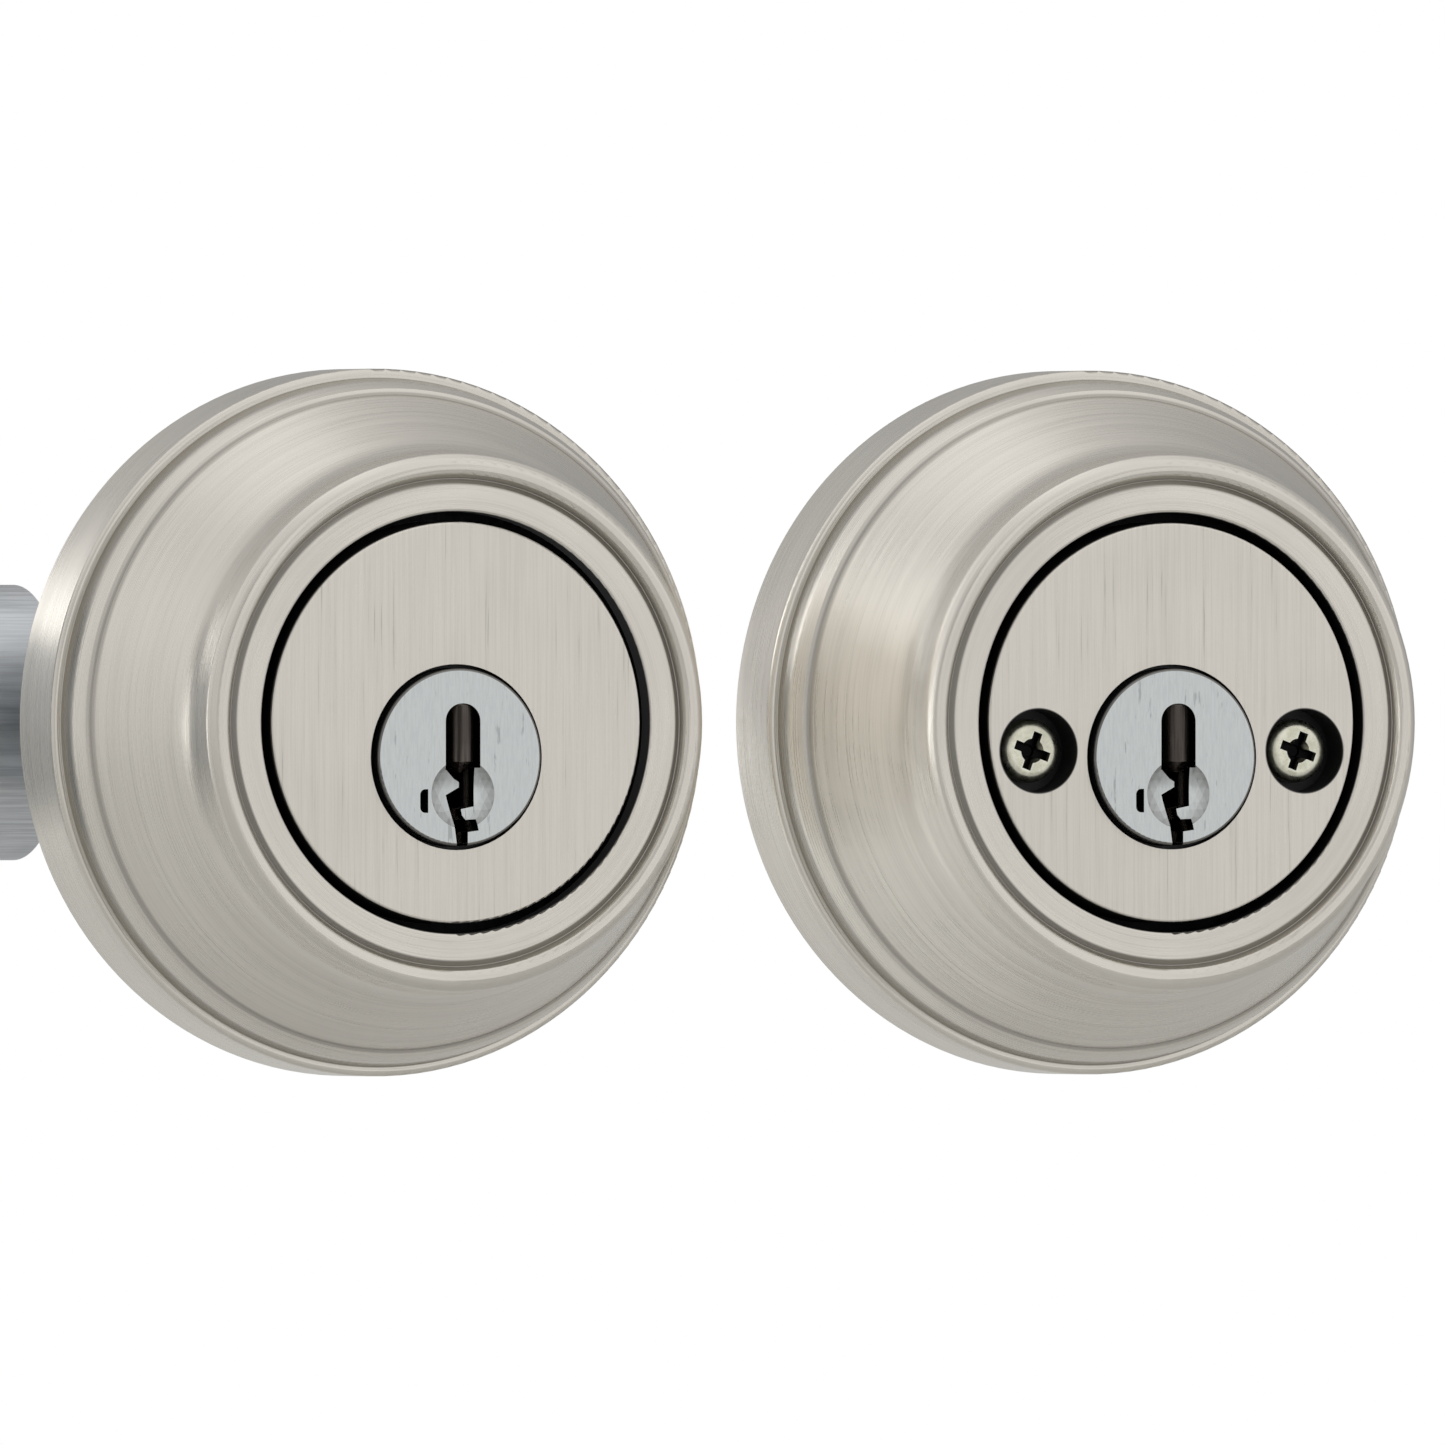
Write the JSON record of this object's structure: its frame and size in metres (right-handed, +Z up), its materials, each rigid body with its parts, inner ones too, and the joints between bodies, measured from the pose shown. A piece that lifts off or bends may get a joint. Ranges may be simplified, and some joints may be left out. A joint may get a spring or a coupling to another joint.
{
  "type": "double-cylinder deadbolt door lock",
  "caption": "Door deadbolt keyed on both sides: two turned satin roses round key cylinders, and a tubular latch whose bolt is thrown by a crank on the torque blade.",
  "frame": {"origin": "middle of the door's cross bore at the door's outer face, where the outer half's back stands", "axes": "+X to the right as seen from outside, away from the door's edge; +Y into the door, from the outer face to the inner face; +Z up"},
  "size_m": [0.1621, 0.0677, 0.0634],
  "materials": {
    "satin_nickel": "turned satin nickel plate",
    "brushed_face": "vertically brushed satin nickel plate",
    "bright_plug": "bright nickel plate",
    "blackened_steel": "black oxide on hardened steel",
    "zinc_casting": "as-cast zinc alloy",
    "zinc_plated_steel": "bright zinc plate",
    "yellow_zinc_steel": "pale yellow zinc plate",
    "white_nylon": "moulded nylon",
    "brass": "machined brass",
    "spring_steel": "bright spring steel",
    "oiled_bronze": "dark oiled bronze"
  },
  "bodies": {
    "exterior_lock": {"exterior_cylinder_housing": "brushed_face", "exterior_chassis": "zinc_casting", "exterior_guard_ring": "blackened_steel", "exterior_support_plate": "zinc_plated_steel", "blade_retainer": "zinc_plated_steel", "latch_faceplate": "satin_nickel", "latch_back_plate": "zinc_plated_steel", "latch_tube": "zinc_plated_steel", "latch_cheek_outer": "zinc_plated_steel", "latch_cheek_inner": "zinc_plated_steel", "cheek_spacers": "zinc_plated_steel", "detent_spring": "spring_steel"},
    "exterior_collar": {"exterior_rose": "satin_nickel", "exterior_rose_retaining_ring": "spring_steel"},
    "latch_cam": {"torque_blade": "zinc_plated_steel", "crank_hub": "brass", "crank_pin": "zinc_plated_steel"},
    "bolt": {"deadbolt": "satin_nickel", "bolt_anti_saw_pin": "blackened_steel", "bolt_tail_outer": "zinc_plated_steel", "bolt_tail_inner": "zinc_plated_steel", "tail_rivets": "zinc_plated_steel"},
    "screw_retainer": {"screw_retainer": "white_nylon"},
    "interior_lock": {"interior_cylinder_housing": "brushed_face", "interior_chassis": "zinc_casting", "interior_guard_ring": "blackened_steel", "interior_rose": "satin_nickel", "mounting_screws": "yellow_zinc_steel"},
    "interior_cam": {"interior_cam": "zinc_casting"},
    "exterior_plug": {"exterior_plug": "bright_plug", "exterior_pin_springs": "spring_steel", "exterior_rack_carrier": "zinc_casting", "exterior_locking_bar": "brass", "exterior_plug_clip": "spring_steel"},
    "exterior_pin_1": {"exterior_key_pin_1": "oiled_bronze", "exterior_rack_1": "brass"},
    "exterior_pin_2": {"exterior_key_pin_2": "oiled_bronze", "exterior_rack_2": "brass"},
    "exterior_pin_3": {"exterior_key_pin_3": "oiled_bronze", "exterior_rack_3": "brass"},
    "exterior_pin_4": {"exterior_key_pin_4": "oiled_bronze", "exterior_rack_4": "brass"},
    "exterior_pin_5": {"exterior_key_pin_5": "oiled_bronze", "exterior_rack_5": "brass"},
    "interior_plug": {"interior_plug": "bright_plug", "interior_pin_springs": "spring_steel", "interior_rack_carrier": "zinc_casting", "interior_locking_bar": "brass", "interior_plug_clip": "spring_steel"},
    "interior_pin_1": {"interior_key_pin_1": "oiled_bronze", "interior_rack_1": "brass"},
    "interior_pin_2": {"interior_key_pin_2": "oiled_bronze", "interior_rack_2": "brass"},
    "interior_pin_3": {"interior_key_pin_3": "oiled_bronze", "interior_rack_3": "brass"},
    "interior_pin_4": {"interior_key_pin_4": "oiled_bronze", "interior_rack_4": "brass"},
    "interior_pin_5": {"interior_key_pin_5": "oiled_bronze", "interior_rack_5": "brass"}
  },
  "joints": [
    {"name": "exterior_collar_spin", "type": "hinge", "parent": "exterior_lock", "child": "exterior_collar", "pos_m": [0, 0, 0], "axis": [0, -1, 0], "continuous": true},
    {"name": "exterior_plug_turn", "type": "hinge", "parent": "exterior_lock", "child": "exterior_plug", "pos_m": [0, 0, -0.0031], "axis": [0, -1, 0], "range_deg": [-125, 125]},
    {"name": "latch_cam_turn", "type": "hinge", "parent": "exterior_lock", "child": "latch_cam", "pos_m": [0, 0.02223, -0.0031], "axis": [0, -1, 0], "range_deg": [0, 110]},
    {"name": "bolt_throw", "type": "slide", "parent": "exterior_lock", "child": "bolt", "axis": [-1, 0, 0], "range_m": [0, 0.0254]},
    {"name": "interior_half_swing", "type": "hinge", "parent": "exterior_lock", "child": "screw_retainer", "pos_m": [0.035, 0.03723, 0], "axis": [0, 0, 1], "range_deg": [0, 180]},
    {"name": "interior_half_fit", "type": "slide", "parent": "screw_retainer", "child": "interior_lock", "axis": [0, 1, 0], "range_m": [0, 0.03]},
    {"name": "interior_plug_turn", "type": "hinge", "parent": "interior_lock", "child": "interior_plug", "pos_m": [0.07, 0, -0.0031], "axis": [0, -1, 0], "range_deg": [-125, 125]},
    {"name": "interior_cam_turn", "type": "hinge", "parent": "interior_lock", "child": "interior_cam", "pos_m": [0.07, 0.006, -0.0031], "axis": [0, -1, 0], "range_deg": [-110, 0]},
    {"name": "exterior_pin_1_lift", "type": "slide", "parent": "exterior_plug", "child": "exterior_pin_1", "axis": [0, 0, 1], "range_m": [0, 0.0013], "stiffness_N_per_m": 20, "springref_m": -0.002, "deforming": ["exterior_pin_springs"]},
    {"name": "exterior_pin_2_lift", "type": "slide", "parent": "exterior_plug", "child": "exterior_pin_2", "axis": [0, 0, 1], "range_m": [0, 0.0013], "stiffness_N_per_m": 20, "springref_m": -0.002},
    {"name": "exterior_pin_3_lift", "type": "slide", "parent": "exterior_plug", "child": "exterior_pin_3", "axis": [0, 0, 1], "range_m": [0, 0.0013], "stiffness_N_per_m": 20, "springref_m": -0.002},
    {"name": "exterior_pin_4_lift", "type": "slide", "parent": "exterior_plug", "child": "exterior_pin_4", "axis": [0, 0, 1], "range_m": [0, 0.0013], "stiffness_N_per_m": 20, "springref_m": -0.002},
    {"name": "exterior_pin_5_lift", "type": "slide", "parent": "exterior_plug", "child": "exterior_pin_5", "axis": [0, 0, 1], "range_m": [0, 0.0013], "stiffness_N_per_m": 20, "springref_m": -0.002},
    {"name": "interior_pin_1_lift", "type": "slide", "parent": "interior_plug", "child": "interior_pin_1", "axis": [0, 0, 1], "range_m": [0, 0.0013], "stiffness_N_per_m": 20, "springref_m": -0.002, "deforming": ["interior_pin_springs"]},
    {"name": "interior_pin_2_lift", "type": "slide", "parent": "interior_plug", "child": "interior_pin_2", "axis": [0, 0, 1], "range_m": [0, 0.0013], "stiffness_N_per_m": 20, "springref_m": -0.002},
    {"name": "interior_pin_3_lift", "type": "slide", "parent": "interior_plug", "child": "interior_pin_3", "axis": [0, 0, 1], "range_m": [0, 0.0013], "stiffness_N_per_m": 20, "springref_m": -0.002},
    {"name": "interior_pin_4_lift", "type": "slide", "parent": "interior_plug", "child": "interior_pin_4", "axis": [0, 0, 1], "range_m": [0, 0.0013], "stiffness_N_per_m": 20, "springref_m": -0.002},
    {"name": "interior_pin_5_lift", "type": "slide", "parent": "interior_plug", "child": "interior_pin_5", "axis": [0, 0, 1], "range_m": [0, 0.0013], "stiffness_N_per_m": 20, "springref_m": -0.002}
  ],
  "couplings": [
    {"joint": "latch_cam_turn", "follows": "bolt_throw", "rad_per_m": 75.585},
    {"joint": "interior_cam_turn", "follows": "bolt_throw", "rad_per_m": -75.585}
  ]
}
